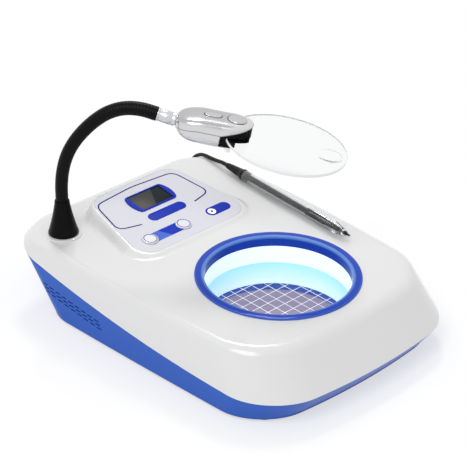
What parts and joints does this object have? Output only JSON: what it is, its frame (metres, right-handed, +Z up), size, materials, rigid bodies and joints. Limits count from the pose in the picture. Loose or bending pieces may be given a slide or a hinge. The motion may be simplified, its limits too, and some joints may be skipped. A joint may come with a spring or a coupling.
{
  "type": "colony counter",
  "caption": "Bench colony counter: moulded housing with a lit counting well, sloped touch panel, lens on a bendable neck, and a counting pen on a cord.",
  "frame": {"origin": "centre of the housing at the table, under the feet", "axes": "+X to the user's right, +Y from the user to the back, +Z up"},
  "size_m": [0.23, 0.3961, 0.1925],
  "materials": {
    "blue_shell": "blue moulded ABS, satin",
    "white_shell": "white moulded ABS, satin",
    "foot_rubber": "matt rubber",
    "screw_steel": "zinc-plated steel",
    "panel_sheet": "lavender printed overlay, satin",
    "panel_print": "dark blue print",
    "display_trim": "dark blue plastic",
    "display_glass": "dark window",
    "circuit_board": "green circuit board",
    "electronics": "moulded component bodies",
    "key_caps": "pale key caps",
    "blue_trim": "blue moulded ring, gloss",
    "diffuser_white": "lit milky diffuser",
    "lit_wall": "lit pale cyan wall",
    "counting_glass": "clear plate with a printed white grid",
    "dark_ring": "dark blue ring",
    "backing": "mauve backing sheet",
    "lamp_case": "pale lamp housing",
    "lamp_tape": "lamp tape",
    "lamp_chip": "lamp chips",
    "black_plastic": "black plastic",
    "rocker_red": "red rocker",
    "neck_black": "black sleeve over the bendable neck",
    "ferrule_steel": "polished ferrule",
    "head_silver": "silver plated shell",
    "head_lamp": "clear lamps on a small board",
    "button_silver": "silver plated cap",
    "jaw_black": "black jaw",
    "lens_glass": "clear polished lens",
    "pen_clear": "clear pen barrel",
    "pen_black": "black plastic",
    "cord_black": "black cord"
  },
  "bodies": {
    "base": {"base_tray": "blue_shell", "top_cover": "white_shell", "feet": "foot_rubber", "cover_screws": "screw_steel", "panel_overlay": "panel_sheet", "panel_films": "panel_print", "display_frame": "display_trim", "display_window": "display_glass", "display_board": "circuit_board", "display_board_parts": "electronics", "well_ring": "blue_trim", "diffuser": "diffuser_white", "glow_wall": "lit_wall", "glass_plate": "counting_glass", "rest_ring": "dark_ring", "back_disc": "backing", "lamp_housing": "lamp_case", "lamp_strip": "lamp_tape", "lamp_chips": "lamp_chip", "main_board": "circuit_board", "small_screws": "screw_steel", "board_parts": "electronics", "buzzer": "black_plastic", "power_jack": "black_plastic", "probe_jack": "black_plastic", "jack_nuts": "screw_steel", "switch_body": "black_plastic", "neck_cone": "neck_black", "neck_nut": "screw_steel", "neck_root": "neck_black", "pen_cord": "cord_black", "cord_coil": "cord_black", "plug_cord": "cord_black", "pen_plug": "cord_black"},
    "link_1": {"neck_link_1": "neck_black"},
    "link_2": {"neck_link_2": "neck_black"},
    "link_3": {"neck_link_3": "neck_black"},
    "link_4": {"neck_link_4": "neck_black"},
    "link_5": {"neck_link_5": "neck_black"},
    "link_6": {"neck_link_6": "neck_black"},
    "link_7": {"neck_link_7": "neck_black"},
    "link_8": {"neck_link_8": "neck_black"},
    "head": {"neck_sleeve": "neck_black", "ferrule": "ferrule_steel", "head_shell": "head_silver", "head_sump": "head_silver", "head_lamps": "head_lamp", "pivot_cap": "button_silver", "lens_jaw": "jaw_black", "lens": "lens_glass"},
    "lamp_button": {"lamp_button": "button_silver"},
    "start_key": {"start_key": "key_caps"},
    "reset_key": {"reset_key": "key_caps"},
    "rocker": {"switch_rocker": "rocker_red"},
    "pen": {"pen_barrel": "pen_clear", "pen_core": "pen_black", "pen_tail": "pen_black"},
    "pen_tip": {"pen_tip": "pen_black"}
  },
  "joints": [
    {"name": "neck_low_1", "type": "hinge", "parent": "base", "child": "link_1", "pos_m": [-0.086, 0.118, 0.11344], "axis": [0.766, 0.6428, 0], "range_deg": [-10, 2.5]},
    {"name": "neck_side_2", "type": "hinge", "parent": "link_1", "child": "link_2", "pos_m": [-0.0849, 0.11669, 0.12734], "axis": [0.6194, -0.7382, -0.2672], "range_deg": [-8, 8]},
    {"name": "neck_low_3", "type": "hinge", "parent": "link_2", "child": "link_3", "pos_m": [-0.0825, 0.11383, 0.14083], "axis": [0.766, 0.6428, 0], "range_deg": [-10, 2.5]},
    {"name": "neck_low_4", "type": "hinge", "parent": "link_3", "child": "link_4", "pos_m": [-0.07841, 0.10896, 0.1533], "axis": [0.766, 0.6428, 0], "range_deg": [-10, 2.5]},
    {"name": "neck_high_5", "type": "hinge", "parent": "link_4", "child": "link_5", "pos_m": [-0.07293, 0.10243, 0.16441], "axis": [0.766, 0.6428, 0], "range_deg": [-12, 2.5]},
    {"name": "neck_side_6", "type": "hinge", "parent": "link_5", "child": "link_6", "pos_m": [-0.06657, 0.09485, 0.17431], "axis": [0.3778, -0.4503, -0.809], "range_deg": [-8, 8]},
    {"name": "neck_high_7", "type": "hinge", "parent": "link_6", "child": "link_7", "pos_m": [-0.05929, 0.08617, 0.18254], "axis": [0.766, 0.6428, 0], "range_deg": [-12, 2.5]},
    {"name": "neck_side_8", "type": "hinge", "parent": "link_7", "child": "link_8", "pos_m": [-0.05078, 0.07603, 0.1871], "axis": [-0.0112, 0.0134, -0.9998], "range_deg": [-8, 8]},
    {"name": "neck_high_9", "type": "hinge", "parent": "link_8", "child": "head", "pos_m": [-0.04179, 0.06531, 0.18685], "axis": [0.766, 0.6428, 0], "range_deg": [-12, 2.5]},
    {"name": "start_key_press", "type": "slide", "parent": "base", "child": "start_key", "axis": [0, 0.1668, -0.986], "range_m": [0, 0.0006], "stiffness_N_per_m": 900, "springref_m": -0.0004},
    {"name": "reset_key_press", "type": "slide", "parent": "base", "child": "reset_key", "axis": [0, 0.1668, -0.986], "range_m": [0, 0.0006], "stiffness_N_per_m": 900, "springref_m": -0.0004},
    {"name": "rocker_tilt", "type": "hinge", "parent": "base", "child": "rocker", "pos_m": [-0.008, 0.14358, 0.03242], "axis": [0, -0.5554, -0.8316], "range_deg": [-16, 0]},
    {"name": "lamp_button_press", "type": "slide", "parent": "head", "child": "lamp_button", "axis": [-0.1016, 0.121, -0.9874], "range_m": [0, 0.0008], "stiffness_N_per_m": 700, "springref_m": -0.0004},
    {"name": "pen_lift", "type": "slide", "parent": "base", "child": "pen", "axis": [0, -0.0314, 0.9995], "range_m": [0, 0.02]},
    {"name": "pen_tip_press", "type": "slide", "parent": "pen", "child": "pen_tip", "axis": [0.0697, 0.9971, 0.0314], "range_m": [0, 0.001], "stiffness_N_per_m": 500, "springref_m": -0.0004}
  ]
}
